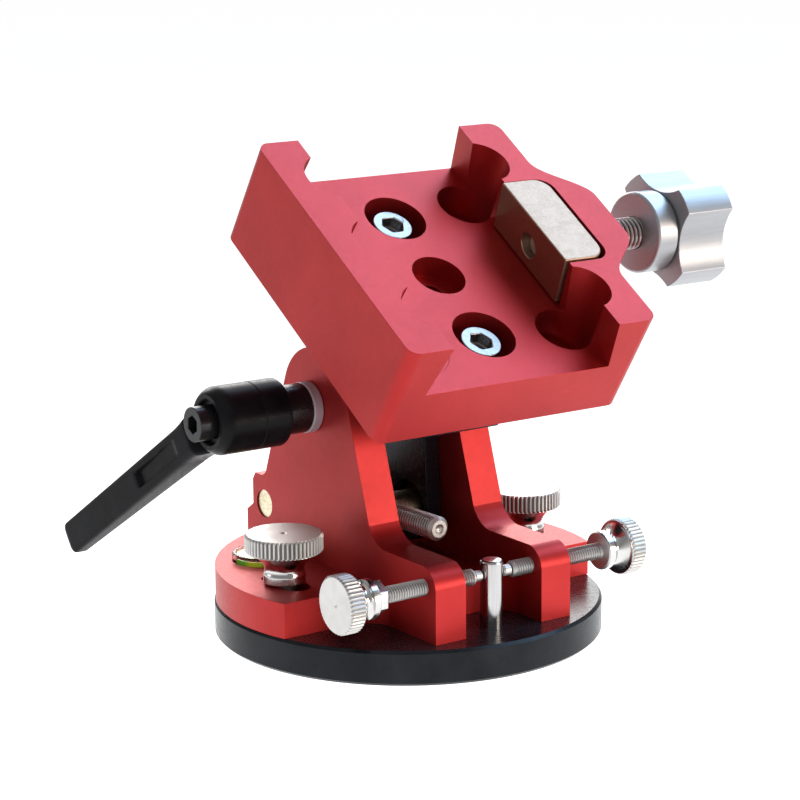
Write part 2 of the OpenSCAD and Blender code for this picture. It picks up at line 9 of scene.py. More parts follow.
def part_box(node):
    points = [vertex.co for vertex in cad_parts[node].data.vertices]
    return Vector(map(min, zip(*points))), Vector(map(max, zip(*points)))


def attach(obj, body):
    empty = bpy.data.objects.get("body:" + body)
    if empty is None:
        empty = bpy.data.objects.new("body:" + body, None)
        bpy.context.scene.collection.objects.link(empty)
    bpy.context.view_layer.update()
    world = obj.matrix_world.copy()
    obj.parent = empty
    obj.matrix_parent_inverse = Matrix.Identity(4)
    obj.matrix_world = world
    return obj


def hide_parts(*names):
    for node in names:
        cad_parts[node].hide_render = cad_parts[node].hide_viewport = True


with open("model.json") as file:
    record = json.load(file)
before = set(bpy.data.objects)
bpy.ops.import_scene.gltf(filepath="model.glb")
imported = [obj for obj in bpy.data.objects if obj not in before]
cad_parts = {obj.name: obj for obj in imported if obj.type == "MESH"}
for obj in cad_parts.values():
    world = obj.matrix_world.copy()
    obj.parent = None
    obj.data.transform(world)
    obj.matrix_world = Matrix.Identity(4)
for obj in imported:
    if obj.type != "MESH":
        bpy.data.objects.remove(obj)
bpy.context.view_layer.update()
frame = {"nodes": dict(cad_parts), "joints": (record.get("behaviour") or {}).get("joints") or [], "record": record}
mm = 0.001
nodes = frame["nodes"]
joints = {joint["name"]: joint for joint in frame["joints"]}
mounts = {mount["name"]: mount for mount in frame["record"]["mounts"]}
xAxis = np.array([1.0, 0.0, 0.0])
zAxis = np.array([0.0, 0.0, 1.0])
print("frame loaded:", len(nodes), "nodes")


def nodeBox(name):  # lowest and highest corner of a node as arrays
    low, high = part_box(name)
    return np.array(low), np.array(high)


def metres(look, *keys):  # values kept in millimetres, as metres
    return [look[key] * mm for key in keys]


def newObject(name, data):  # a new object that shows these data in the scene
    made = bpy.data.objects.new(name, data)
    bpy.context.scene.collection.objects.link(made)
    return made


# Surfaces: grids of points, turned pieces, and copies with broken edges. The weld is in metres, and the
# length of profile that the map's unit covers and the ease at a burnished neck's ends are in millimetres.
gridLook = {"weld": 1e-7, "mapLength": 10.0, "polishFade": 0.3}


# A grid of points made into a mesh: rows run along the profile, columns run round the axis. The last
# column repeats the first, so that the map has its own seam, and is welded to it in the end.
def gridMesh(name, points, shades, closedRows=False, sharp=32, hollow=None, polish=None):
    rows, columns = points.shape[:2]
    flat = np.arange(rows * columns).reshape(rows, columns)
    nextRow = np.roll(flat, -1, axis=0) if closedRows else flat[1:]
    thisRow = flat if closedRows else flat[:-1]
    corners = [thisRow[:, :-1], thisRow[:, 1:], nextRow[:, 1:], nextRow[:, :-1]]
    faces = np.stack(corners, axis=-1).reshape(-1, 4)
    mesh = bpy.data.meshes.new(name)
    mesh.from_pydata(points.reshape(-1, 3).tolist(), [], faces.tolist())
    across = np.linspace(0, 1, columns)[None, :].repeat(rows, axis=0)
    along = shades[:, None].repeat(columns, axis=1)
    mapCorners = np.stack([across, along], axis=-1).reshape(-1, 2)[faces.reshape(-1)]
    layer = mesh.uv_layers.new(name="turned")
    layer.data.foreach_set("uv", mapCorners.astype(np.float32).ravel())
    for key, values in (("hollow", hollow), ("polish", polish)):
        if values is not None:
            attribute = mesh.attributes.new(key, "FLOAT", "POINT")
            attribute.data.foreach_set("value", values.astype(np.float32).ravel())
    shell = bmesh.new()
    shell.from_mesh(mesh)
    bmesh.ops.remove_doubles(shell, verts=shell.verts, dist=gridLook["weld"])
    bmesh.ops.recalc_face_normals(shell, faces=shell.faces)
    shell.to_mesh(mesh)
    shell.free()
    mesh.polygons.foreach_set("use_smooth", [True] * len(mesh.polygons))
    mesh.set_sharp_from_angle(angle=math.radians(sharp))
    return newObject(name, mesh)


# Extra points along a profile, so that no step between two of them is longer than the limit.
def refined(profile, longest):
    profile = np.asarray(profile, dtype=float)
    stretches = []
    for start, end in zip(profile[:-1], profile[1:]):
        count = max(1, int(math.ceil(np.hypot(*(end - start)) / longest)))
        stretches.append(start + (end - start) * (np.arange(count) / count)[:, None])
    stretches.append(profile[-1:])
    return np.concatenate(stretches)


# The same for a profile that closes on itself, as a ring's does.
def refinedRing(profile, longest):
    return refined(profile + profile[:1], longest)[:-1]


# A corner of a profile rounded off: a quadratic curve that leaves start and reaches end towards the corner.
def rounded(start, corner, end, count=5):
    start, corner, end = (np.asarray(point, dtype=float) for point in (start, corner, end))
    share = np.linspace(0, 1, count)[:, None]
    return ((1 - share) ** 2 * start + 2 * share * (1 - share) * corner + share ** 2 * end).tolist()


# 1 between two distances and 0 outside them, with an ease of the given width at each end.
def band(distance, start, end, width, shift=0.0):
    return np.clip(np.minimum(distance - start, end - distance) / width + shift, 0, 1)


# A body turned about an axis: each profile point (radius, distance) is carried round a full circle.
# Relief is added to the radius as a function of (radius, distance, angle), and its depth is kept as the
# attribute hollow. The attribute polish is 1 between the two distances of a burnished neck, which lie off
# the piece unless they are given.
def turnedPiece(name, profile, origin, axis, around=96, relief=None, closed=False, sharp=32, neck=(1.0, 1.0)):
    profile = np.asarray(profile, dtype=float)
    axis = np.asarray(axis, dtype=float) / np.linalg.norm(axis)
    side = np.cross(axis, zAxis if abs(axis[2]) < 0.9 else xAxis)
    side /= np.linalg.norm(side)
    other = np.cross(axis, side)
    angle = np.linspace(0, 2 * math.pi, around + 1)
    angle[-1] = 0.0
    radius = profile[:, :1].repeat(around + 1, axis=1)
    distance = profile[:, 1:].repeat(around + 1, axis=1)
    hollow = np.zeros_like(radius)
    if relief:
        hollow = relief(radius, distance, angle[None, :].repeat(len(profile), axis=0))
        radius = radius + hollow
    polish = band(distance, *neck, gridLook["polishFade"] * mm, 0.5)
    outward = np.cos(angle)[None, :, None] * side + np.sin(angle)[None, :, None] * other
    points = np.asarray(origin) + distance[..., None] * axis + radius[..., None] * outward
    steps = np.hypot(*np.diff(profile, axis=0).T)
    shades = np.concatenate([[0], np.cumsum(steps)]) / (gridLook["mapLength"] * mm)
    return gridMesh(name, points, shades, closed, sharp, -hollow / mm, polish)


# A knurl's groove is steepness times its wave less the land, and the rest is in millimetres.
knurlLook = {"steepness": 1.35, "land": 0.15, "endFade": 0.35, "rimDepth": 0.9, "rimFade": 0.5}


# Straight knurl: the rim dips by a flat-bottomed wave round the head, between two distances.
def knurl(teeth, depth, start, end, rim):
    endFade, rimDepth, rimFade = metres(knurlLook, "endFade", "rimDepth", "rimFade")

    def relief(radius, distance, angle):
        wave = 0.5 - 0.5 * np.cos(teeth * angle)
        groove = np.clip(knurlLook["steepness"] * wave - knurlLook["land"], 0, 1)
        onRim = np.clip((radius - (rim - rimDepth)) / rimFade, 0, 1)
        return -depth * groove * band(distance, start, end, endFade, 0.5) * onRim
    return relief


# A thread's tooth is steepness times its saw less the crest. It runs out over a share of the pitch at both
# ends, and only points within the reach, in millimetres, of its crest's radius take part.
threadLook = {"steepness": 1.25, "crest": 0.12, "runOut": 0.6, "reach": 0.02}


# How far round its pitch a thread is at a distance and angle, as a saw: 0 at the crest and 1 at the root.
def saw(distance, angle, pitch):
    phase = np.mod(distance / pitch - angle / (2 * math.pi), 1)
    return np.abs(2 * phase - 1)


# Screw thread: the radius falls from the crest by a saw of equal flanks that climbs one pitch a turn.
def thread(pitch, depth, start, end, crest):
    def relief(radius, distance, angle):
        tooth = np.clip(threadLook["steepness"] * saw(distance, angle, pitch) - threadLook["crest"], 0, 1)
        inside = band(distance, start, end, threadLook["runOut"] * pitch)
        onThread = np.abs(radius - crest) < threadLook["reach"] * mm
        return -depth * tooth * inside * onThread
    return relief


def bothReliefs(first, second):  # the sum of two reliefs
    return lambda radius, distance, angle: first(radius, distance, angle) + second(radius, distance, angle)


# Lengths in metres and angles in degrees.
copyLook = {"weld": 2e-6, "sliver": 1e-6, "flatWithin": 0.6, "bevelAngle": 28, "normalWeight": 100}


# A copy of a node with its corners welded, its flat faces joined and its edges broken by a small bevel.
def bevelledCopy(name, node, width, segments=2):
    piece = newObject(name, nodes[node].data.copy())
    shell = bmesh.new()
    shell.from_mesh(piece.data)
    bmesh.ops.remove_doubles(shell, verts=shell.verts, dist=copyLook["weld"])
    bmesh.ops.dissolve_degenerate(shell, edges=shell.edges, dist=copyLook["sliver"])
    flatWithin = math.radians(copyLook["flatWithin"])
    bmesh.ops.dissolve_limit(shell, angle_limit=flatWithin, verts=shell.verts, edges=shell.edges)
    shell.to_mesh(piece.data)
    shell.free()
    piece.data.polygons.foreach_set("use_smooth", [True] * len(piece.data.polygons))
    bevel = piece.modifiers.new("broken edges", "BEVEL")
    bevel.width = width
    bevel.segments = segments
    bevel.limit_method = "ANGLE"
    bevel.angle_limit = math.radians(copyLook["bevelAngle"])
    bevel.miter_outer = "MITER_ARC"
    bevel.use_clamp_overlap = True
    weighted = piece.modifiers.new("flat faces stay flat", "WEIGHTED_NORMAL")
    weighted.weight = copyLook["normalWeight"]
    weighted.keep_sharp = False
    return piece


# Gives a piece its finish and the body it moves with, and hides the node it stands for. The slot's name is not
# used.
def fit(piece, finish, body, slotName, *replaced):
    piece.data.materials.clear()
    piece.data.materials.append(finish)
    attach(piece, body)
    if replaced:
        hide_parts(*replaced)


# Finishes: each is made of noises on object coordinates or on a turned piece's own map.
def setSockets(node, sockets):  # gives a node's sockets their values
    for socket, value in sockets.items():
        node.inputs[socket].default_value = value


def finishShader(name, sockets):  # a new material, with its tree and its shader
    finish = bpy.data.materials.new(name)
    finish.use_nodes = True
    shader = finish.node_tree.nodes["Principled BSDF"]
    setSockets(shader, sockets)
    return finish, finish.node_tree, shader


def addNode(tree, kind, sockets={}, **settings):  # a new node with its settings and its sockets' values
    made = tree.nodes.new(kind)
    for key, value in settings.items():
        setattr(made, key, value)
    setSockets(made, sockets)
    return made


# A noise on object coordinates, or on the piece's own map, stretched by a scale along each axis.
def noise(tree, scale, detail=3.0, roughness=0.55, stretch=(1, 1, 1), source="Object"):
    place = addNode(tree, "ShaderNodeTexCoord")
    mapping = addNode(tree, "ShaderNodeMapping", {"Scale": stretch})
    grain = addNode(tree, "ShaderNodeTexNoise", {"Scale": scale, "Detail": detail, "Roughness": roughness})
    tree.links.new(place.outputs[source], mapping.inputs["Vector"])
    tree.links.new(mapping.outputs["Vector"], grain.inputs["Vector"])
    return grain


middleOfNoise = (0.35, 0.65)  # most of a noise's values lie between these


# Maps a value from one range to another.
def mapped(tree, source, fromLow, fromHigh, toLow, toHigh, **settings):
    ends = {"From Min": fromLow, "From Max": fromHigh, "To Min": toLow, "To Max": toHigh}
    ramp = addNode(tree, "ShaderNodeMapRange", ends, **settings)
    tree.links.new(source, ramp.inputs["Value"])
    return ramp


# Colours a noise from a dark tone to a light one.
def twoTone(tree, grain, dark, light, ends=middleOfNoise):
    mix = addNode(tree, "ShaderNodeValToRGB")
    for element, place, tone in zip(mix.color_ramp.elements, ends, (dark, light)):
        element.position = place
        element.color = (*tone, 1)
    tree.links.new(grain.outputs[0], mix.inputs["Fac"])
    return mix


def bumpFrom(tree, grain, strength, depth):  # the depth is in millimetres
    bump = addNode(tree, "ShaderNodeBump", {"Strength": strength, "Distance": depth * mm})
    tree.links.new(grain.outputs[0], bump.inputs["Height"])
    return bump


# An even finish from three noises on object coordinates: one for its tone, one for its shine and one for
# the relief of its grain. Each noise is given as (scale, detail), and the grain's depth in millimetres.
evenFinish = {
    "tone": (1500.0, 4.0), "toneEnds": middleOfNoise, "shine": (500.0, 3.0), "grain": (1500.0, 4.0),
    "strength": 0.15, "depth": 0.03, "stretch": (1, 1, 1), "sockets": {"Metallic": 1.0},
}


def makeEven(name, look):
    look = {**evenFinish, **look}
    finish, tree, shader = finishShader(name, look["sockets"])
    tone = noise(tree, *look["tone"], stretch=look["stretch"])
    colour = twoTone(tree, tone, look["dark"], look["light"], look["toneEnds"])
    shine = mapped(tree, noise(tree, *look["shine"]).outputs[0], *middleOfNoise, *look["roughness"])
    grain = noise(tree, *look["grain"], stretch=look["stretch"])
    bump = bumpFrom(tree, grain, look["strength"], look["depth"])
    for made, socket in ((colour, "Base Color"), (shine, "Roughness"), (bump, "Normal")):
        tree.links.new(made.outputs[0], shader.inputs[socket])
    return finish


# Bead-blasted and dyed aluminium: a fine even grain, slow changes of tone, and a clear oxide skin on top.
redAnodised = makeEven("red anodised", {
    "dark": (0.36, 0.012, 0.012), "light": (0.42, 0.017, 0.017), "tone": (60.0, 4.0), "toneEnds": (0.3, 0.7),
    "roughness": (0.44, 0.50), "shine": (900.0, 4.0), "grain": (5200.0, 2.0), "strength": 0.10, "depth": 0.04,
    "sockets": {"Metallic": 0.80, "Coat Weight": 0.12, "Coat Roughness": 0.34, "Coat IOR": 1.6}})
blackAnodised = makeEven("black anodised", {
    "dark": (0.006, 0.0065, 0.008), "light": (0.014, 0.015, 0.018), "tone": (90.0, 4.0),
    "roughness": (0.22, 0.30), "shine": (700.0, 4.0), "grain": (4200.0, 2.0), "strength": 0.03,
    "sockets": {"Metallic": 0.0, "Specular IOR Level": 0.15, "Specular Tint": (0.80, 0.90, 1.0, 1)}})

# Glass-filled nylon: near black, with a fine moulded grain and a faint grey bloom.
blackNylon = makeEven("black nylon", {
    "dark": (0.0035, 0.0035, 0.0042), "light": (0.0085, 0.0085, 0.0100), "tone": (160.0, 5.0),
    "roughness": (0.28, 0.40), "shine": (1200.0, 3.0), "grain": (2600.0, 2.0), "strength": 0.25,
    "depth": 0.04, "sockets": {"Specular IOR Level": 0.10}})

# Milled or plated metals.
silverMilled = makeEven("milled silver", {
    "dark": (0.365, 0.370, 0.385), "light": (0.395, 0.400, 0.415), "roughness": (0.40, 0.43),
    "strength": 0.02, "stretch": (0.08, 1, 1), "sockets": {"Metallic": 0.85}})
stainlessPlain = makeEven("plain stainless", {
    "dark": (0.50, 0.49, 0.48), "light": (0.72, 0.71, 0.70), "roughness": (0.24, 0.36)})
polishedPin = makeEven("polished pin", {
    "dark": (0.44, 0.435, 0.43), "light": (0.52, 0.515, 0.51), "roughness": (0.12, 0.18),
    "strength": 0.03, "stretch": (1, 1, 0.05)})
platedScrew = makeEven("bright plated", {
    "dark": (0.24, 0.225, 0.22), "light": (0.30, 0.285, 0.28), "roughness": (0.26, 0.32), "strength": 0.05})
jawNickel = makeEven("jaw nickel", {
    "dark": (0.34, 0.222, 0.156), "light": (0.39, 0.262, 0.185), "roughness": (0.42, 0.48), "strength": 0.05})
brassPlain = makeEven("plain brass", {
    "dark": (0.58, 0.50, 0.34), "light": (0.80, 0.72, 0.52), "roughness": (0.30, 0.42)})

# Turned metal: fine rings that follow the tool's path, from the piece's own map. The roots of threads and
# knurls get painted shade: from one depth in millimetres to another the tone falls to a share of itself.
# A burnished neck keeps only a share of the roughness. The rings' noise is given as (scale, detail,
# roughness, stretch).
turnedFinish = {
    "ringNoise": (1.0, 5.0, 0.7, (3, 260, 1)), "ringEnds": (0.3, 0.66), "ringDepth": 0.02,
    "shineScale": 420.0, "rootDepths": (0.12, 0.46), "rootPaintedShade": 0.16, "neckShare": 0.35,
}


def makeTurned(name, look):
    look = {**turnedFinish, **look}
    finish, tree, shader = finishShader(name, {"Metallic": look["metallic"]})
    rings = noise(tree, *look["ringNoise"], source="UV")
    colour = twoTone(tree, rings, look["dark"], look["light"], look["ringEnds"])
    hollow = addNode(tree, "ShaderNodeAttribute", attribute_name="hollow")
    # painted shade: the tone is multiplied down where the relief is deep, in the roots of threads and knurls
    paintedRootShade = mapped(tree, hollow.outputs["Fac"], *look["rootDepths"], 1.0, look["rootPaintedShade"])
    shaded = addNode(tree, "ShaderNodeMix", data_type="RGBA", blend_type="MULTIPLY")
    shaded.inputs["Factor"].default_value = 1.0
    # A mix node has sockets for every kind of value, and these three are its colours.
    firstColour, secondColour, mixedColour = shaded.inputs[6], shaded.inputs[7], shaded.outputs[2]
    tree.links.new(colour.outputs["Color"], firstColour)
    tree.links.new(paintedRootShade.outputs["Result"], secondColour)
    tree.links.new(mixedColour, shader.inputs["Base Color"])
    shine = mapped(tree, noise(tree, look["shineScale"]).outputs[0], *middleOfNoise, *look["roughness"])
    neck = addNode(tree, "ShaderNodeAttribute", attribute_name="polish")
    burnished = mapped(tree, neck.outputs["Fac"], 0.0, 1.0, 1.0, look["neckShare"])
    smooth = addNode(tree, "ShaderNodeMath", operation="MULTIPLY")
    tree.links.new(shine.outputs["Result"], smooth.inputs[0])
    tree.links.new(burnished.outputs["Result"], smooth.inputs[1])
    tree.links.new(smooth.outputs[0], shader.inputs["Roughness"])
    bump = bumpFrom(tree, rings, look["rings"], look["ringDepth"])
    tree.links.new(bump.outputs["Normal"], shader.inputs["Normal"])
    return finish


stainless = makeTurned("turned stainless", {
    "dark": (0.50, 0.49, 0.48), "light": (0.66, 0.65, 0.63), "roughness": (0.44, 0.54),
    "rings": 0.30, "metallic": 1.0})
washerMetal = makeTurned("washer metal", {
    "dark": (0.34, 0.30, 0.33), "light": (0.44, 0.40, 0.43), "roughness": (0.42, 0.52),
    "rings": 0.20, "metallic": 0.25})
blackSteel = makeTurned("black steel", {
    "dark": (0.010, 0.010, 0.011), "light": (0.030, 0.030, 0.032), "roughness": (0.24, 0.36),
    "rings": 0.25, "metallic": 0.6})

# The level's liquid glows a little, in tones from green to yellow.
liquidLook = {"scale": 140.0, "detail": 2.0, "dark": (0.16, 0.50, 0.03), "light": (0.68, 0.74, 0.05),
              "ends": (0.42, 0.58), "glow": 0.12, "roughness": 0.15}


def makeLiquid(name, look):
    sockets = {"Emission Strength": look["glow"], "Roughness": look["roughness"]}
    finish, tree, shader = finishShader(name, sockets)
    depth = noise(tree, look["scale"], look["detail"])
    colour = twoTone(tree, depth, look["dark"], look["light"], look["ends"])
    tree.links.new(colour.outputs["Color"], shader.inputs["Base Color"])
    tree.links.new(colour.outputs["Color"], shader.inputs["Emission Color"])
    return finish


# Clear cover of the level, wiped a little uneven.
windowLook = {"Base Color": (0.97, 1.0, 0.92, 1), "Transmission Weight": 1.0, "IOR": 1.2}


def makeWindow(name, sockets, wipeScale=300.0, roughness=(0.03, 0.09)):
    finish, tree, shader = finishShader(name, sockets)
    shine = mapped(tree, noise(tree, wipeScale).outputs[0], *middleOfNoise, *roughness)
    tree.links.new(shine.outputs["Result"], shader.inputs["Roughness"])
    return finish


levelLiquid = makeLiquid("level liquid", liquidLook)
levelWindow = makeWindow("level window", windowLook)
print("finishes made")


# Base disc, bush and peg.
discLook = {"bevel": 0.7, "around": 192, "rowStep": 4.0}
discHigh = nodeBox("base_disc")[1]
bushHigh = nodeBox("tripod_bush")[1]
discRadius, discTop = discHigh[0], discHigh[2]
bushRadius, bushTop = bushHigh[0], bushHigh[2]
bevel, rowStep = metres(discLook, "bevel", "rowStep")
profile = [(bushRadius, 0.0)]
profile += [(discRadius - bevel, 0.0), (discRadius, bevel), (discRadius, discTop - bevel)]
profile += [(discRadius - bevel, discTop), (bushRadius, discTop)]
disc = turnedPiece("disc", refinedRing(profile, rowStep), (0, 0, 0), zAxis, discLook["around"], closed=True)
fit(disc, blackAnodised, "base", "black_anodised", "base_disc")

bushLook = {"pitch": 1.5875, "threadDepth": 0.85, "boreEdge": 0.5, "edge": 0.3, "step": 0.05, "topEdge": 0.5,
            "rowsPerPitch": 8, "around": 64}
pitch, threadDepth, boreEdge = metres(bushLook, "pitch", "threadDepth", "boreEdge")
edge, step, topEdge = metres(bushLook, "edge", "step", "topEdge")
boreRadius, boreDepth = metres(mounts["tripod_thread"]["dims"], "r_mm", "length_mm")
bore = refined([(boreRadius, boreDepth), (boreRadius, boreEdge)], pitch / bushLook["rowsPerPitch"])
profile = np.concatenate([
    [(0.0, boreDepth), (boreRadius - step, boreDepth)], bore,
    [(boreRadius + boreEdge, 0.0), (bushRadius - edge, 0.0), (bushRadius, edge), (bushRadius, discTop),
     (bushRadius - step, discTop), (bushRadius - step, bushTop - topEdge),
     (bushRadius - step - topEdge, bushTop), (0.0, bushTop)]])


# Inner thread: the wall dips inwards from the bore by a saw that climbs one pitch a turn.
def innerThread(radius, distance, angle):
    inside = band(distance, boreEdge, boreDepth, threadLook["runOut"] * pitch)
    onWall = np.abs(radius - boreRadius) < threadLook["reach"] * mm
    return -threadDepth * saw(distance, angle, pitch) * inside * onWall


bush = turnedPiece("threaded_bush", profile, (0, 0, 0), zAxis, bushLook["around"], relief=innerThread)
fit(bush, stainless, "base", "stainless", "tripod_bush")

pegLook = {"topEdge": 0.75, "rowStep": 2.0, "around": 64}
pegLow, pegHigh = nodeBox("azimuth_peg")
pegMiddle = (pegLow + pegHigh) / 2
pegRadius = (pegHigh[0] - pegLow[0]) / 2
edge, rowStep = metres(pegLook, "topEdge", "rowStep")
profile = [(0.0, pegLow[2]), (pegRadius, pegLow[2]), (pegRadius, pegHigh[2] - edge)]
profile += rounded((pegRadius, pegHigh[2] - edge), (pegRadius, pegHigh[2]), (pegRadius - edge, pegHigh[2]))
profile += [(0.0, pegHigh[2])]
peg = turnedPiece("peg", refined(profile, rowStep), (pegMiddle[0], pegMiddle[1], 0), zAxis, pegLook["around"])
fit(peg, polishedPin, "base", "stainless", "azimuth_peg")
print("base made")


# Milled bodies: copies of their nodes with broken edges.
milledEdges = {"fork": 0.45, "saddle": 0.5, "block": 0.5, "jaw": 0.6}  # width of their broken edges
fork = bevelledCopy("fork", "azimuth_fork", milledEdges["fork"] * mm)
fit(fork, redAnodised, "fork", "red_anodised", "azimuth_fork")
saddle = bevelledCopy("dovetail_saddle", "saddle", milledEdges["saddle"] * mm)
fit(saddle, redAnodised, "altitude", "red_anodised", "saddle")
block = bevelledCopy("block", "altitude_block", milledEdges["block"] * mm)
fit(block, blackAnodised, "altitude", "black_anodised", "altitude_block")
jaw = bevelledCopy("moving_jaw", "clamp_jaw", milledEdges["jaw"] * mm, segments=3)
fit(jaw, jawNickel, "jaw", "nickel", "clamp_jaw")
print("milled bodies made")


# Knurled screws. What the thumb screws share, with lengths in millimetres and the sharp angle in degrees: the
# waist widens to the head as a power of the height, less a hollow in the shape of a half sine, and the head's
# face is a shallow dish with a centre mark.
thumbLook = {
    "footEdge": 0.35, "flangeEdge": 0.3, "waistRows": 14, "headMargin": 0.9, "widening": 2.2,
    "hollowing": 0.8, "headEdge": 0.35, "headRise": 0.4, "topEdge": 0.45, "land": 0.5, "dish": 0.10,
    "dishRadius": 0.9, "markRadius": 0.55, "markTop": 0.12, "markDepth": 0.45, "headStep": 0.3,
    "faceStep": 0.5, "tip": 0.5, "plainStep": 8.0, "rowsPerStep": 7, "threadShare": 0.55,
    "knurlMargin": 0.1, "neckStart": 0.3, "sharp": 38,
}


# Profile of a thumb screw from its flange: flange, hollow waist, knurled head and face.
def thumbProfile(look):
    headRadius, flangeRadius, flangeHeight = metres(look, "headRadius", "flangeRadius", "flangeHeight")
    waist, headHeight, waistRadius = metres(look, "waist", "headHeight", "waistRadius")
    footEdge, flangeEdge, headMargin = metres(thumbLook, "footEdge", "flangeEdge", "headMargin")
    headEdge, headRise, topEdge, land = metres(thumbLook, "headEdge", "headRise", "topEdge", "land")
    dish, dishRadius, markRadius = metres(thumbLook, "dish", "dishRadius", "markRadius")
    markTop, markDepth = metres(thumbLook, "markTop", "markDepth")
    headStart = flangeHeight + waist
    headEnd = headStart + headHeight
    rise = np.linspace(0, 1, thumbLook["waistRows"])
    widened = flangeRadius + (headRadius - headMargin - flangeRadius) * rise ** thumbLook["widening"]
    hollowed = (flangeRadius - waistRadius) * np.sin(np.pi * rise ** thumbLook["hollowing"])
    neck = np.stack([widened - hollowed, flangeHeight + waist * rise], axis=1)
    flange = [(flangeRadius - footEdge, 0.0), (flangeRadius, footEdge),
              (flangeRadius, flangeHeight - flangeEdge)]
    head = [(headRadius - headEdge, headStart), (headRadius, headStart + headRise),
            (headRadius, headEnd - topEdge)]
    face = [(headRadius - topEdge, headEnd), (headRadius - topEdge - land, headEnd),
            (dishRadius, headEnd - dish), (markRadius, headEnd - markTop), (0.0, headEnd - markDepth)]
    headStep, faceStep = metres(thumbLook, "headStep", "faceStep")
    return np.concatenate([flange, neck, refined(head, headStep), refined(face, faceStep)])


def headLength(look):  # from the flange's foot to the head's face
    return (look["flangeHeight"] + look["waist"] + look["headHeight"]) * mm


# A thumb screw with its flange's foot at the origin and its shaft from there down to shaftStart.
def thumbScrew(name, look, origin, axis, shaftStart):
    radius, pitch, knurlDepth, headRadius = metres(look, "shaftRadius", "pitch", "knurlDepth", "headRadius")
    tip, plainStep, margin, neckStart = metres(thumbLook, "tip", "plainStep", "knurlMargin", "neckStart")
    rowStep = (pitch or plainStep) / thumbLook["rowsPerStep"]
    rod = refined([(radius, shaftStart + tip), (radius, 0.0)], rowStep)
    foot = [(0.0, shaftStart), (radius - tip, shaftStart), (radius, shaftStart + tip)]
    profile = np.concatenate([foot, rod, thumbProfile(look)])
    headEnd = headLength(look)
    headStart = headEnd - look["headHeight"] * mm
    relief = knurl(look["teeth"], knurlDepth, headStart + margin, headEnd - margin, headRadius)
    if pitch:
        threadDepth = thumbLook["threadShare"] * pitch
        relief = bothReliefs(relief, thread(pitch, threadDepth, shaftStart + tip, 0.0, radius))
    return turnedPiece(name, profile, origin, axis, look["teeth"] * look["columnsPerTooth"], relief=relief,
                       sharp=thumbLook["sharp"], neck=(neckStart, headStart + margin))


lockLook = {"headRadius": 9.4, "flangeRadius": 5.1, "flangeHeight": 2.2, "waist": 5.4, "headHeight": 4.4,
            "waistRadius": 4.5, "teeth": 54, "knurlDepth": 0.42, "columnsPerTooth": 8, "shaftRadius": 2.5,
            "pitch": 0.0}  # a pitch of 0 leaves the shaft plain
for side in ("left", "right"):
    low, high = nodeBox("lock_screw_" + side)
    centre = (low + high) / 2
    foot = high[2] - headLength(lockLook)
    lock = thumbScrew("lock_" + side, lockLook, (centre[0], centre[1], foot), zAxis, low[2] - foot)
    fit(lock, stainless, "lock_" + side, "stainless", "lock_screw_" + side)

pushLook = {"headRadius": 6.95, "flangeRadius": 4.7, "flangeHeight": 1.9, "waist": 3.7, "headHeight": 4.2,
            "waistRadius": 3.6, "teeth": 42, "knurlDepth": 0.36, "columnsPerTooth": 6, "shaftRadius": 2.0,
            "pitch": 0.7}
tipLook = {"edge": 0.4, "rowStep": 0.6, "around": 48}
for side, sign in (("left", -1.0), ("right", 1.0)):
    low, high = nodeBox("azimuth_screw_" + side)
    centre = (low + high) / 2
    inner, outer = (low[0], high[0]) if sign > 0 else (high[0], low[0])
    flange = outer - sign * headLength(pushLook)
    push = thumbScrew("push_" + side, pushLook, (flange, centre[1], centre[2]), xAxis * sign,
                      -abs(flange - inner))
    fit(push, stainless, "push_" + side, "stainless", "azimuth_screw_" + side)
    low, high = nodeBox("azimuth_tip_" + side)
    half, _, radius = (high - low) / 2
    edge, rowStep = metres(tipLook, "edge", "rowStep")
    profile = [(0.0, -half), (radius, -half), (radius, half - edge), (radius - edge, half), (0.0, half)]
    tip = turnedPiece("tip_" + side, refined(profile, rowStep), (low + high) / 2, -xAxis * sign,
                      tipLook["around"])
    fit(tip, stainless, "tip_" + side, "stainless", "azimuth_tip_" + side)

jamNutLook = {"edge": 0.3}
jamNut = bevelledCopy("jam_nut", "azimuth_jam_nut", jamNutLook["edge"] * mm)
fit(jamNut, stainlessPlain, "push_left", "stainless", "azimuth_jam_nut")

knobLook = {"headRadius": 7.0, "flangeRadius": 5.0, "flangeHeight": 1.8, "waist": 5.0, "headHeight": 5.0,
            "waistRadius": 4.0, "teeth": 42, "knurlDepth": 0.38, "columnsPerTooth": 8, "shaftRadius": 3.6,
            "pitch": 0.0, "start": 6.6, "shaft": 0.1}
screwAxis = np.array(joints["altitude_screw_turn"]["axis"])
barrelCentre = np.array(joints["altitude_screw_turn"]["pos_m"])
knobStart, knobShaft = metres(knobLook, "start", "shaft")
knobFoot = barrelCentre + screwAxis * knobStart
altitudeKnob = thumbScrew("altitude_knob_head", knobLook, knobFoot, screwAxis, -knobShaft)
fit(altitudeKnob, stainless, "alt_screw", "stainless", "altitude_knob")

altitudeLook = {"radius": 3.0, "front": 48.0, "back": 15.9, "pitch": 1.0, "threadDepth": 0.58, "point": 0.8,
                "pointDrop": 0.9, "markRadius": 1.25, "markWall": 1.05, "markStep": 0.25, "markDepth": 0.7,
                "pointStep": 0.4, "rowsPerPitch": 10, "around": 64, "sharp": 38}
radius, front, back, pitch = metres(altitudeLook, "radius", "front", "back", "pitch")
threadDepth, point = metres(altitudeLook, "threadDepth", "point")
pointDrop, pointStep = metres(altitudeLook, "pointDrop", "pointStep")
markRadius, markWall = metres(altitudeLook, "markRadius", "markWall")
markStep, markDepth = metres(altitudeLook, "markStep", "markDepth")
rod = refined([(radius, -back), (radius, front - point)], pitch / altitudeLook["rowsPerPitch"])
pointProfile = [(radius - pointDrop / 2, front - point / 2), (radius - pointDrop, front), (markRadius, front),
                (markWall, front - markStep), (0.0, front - markDepth)]
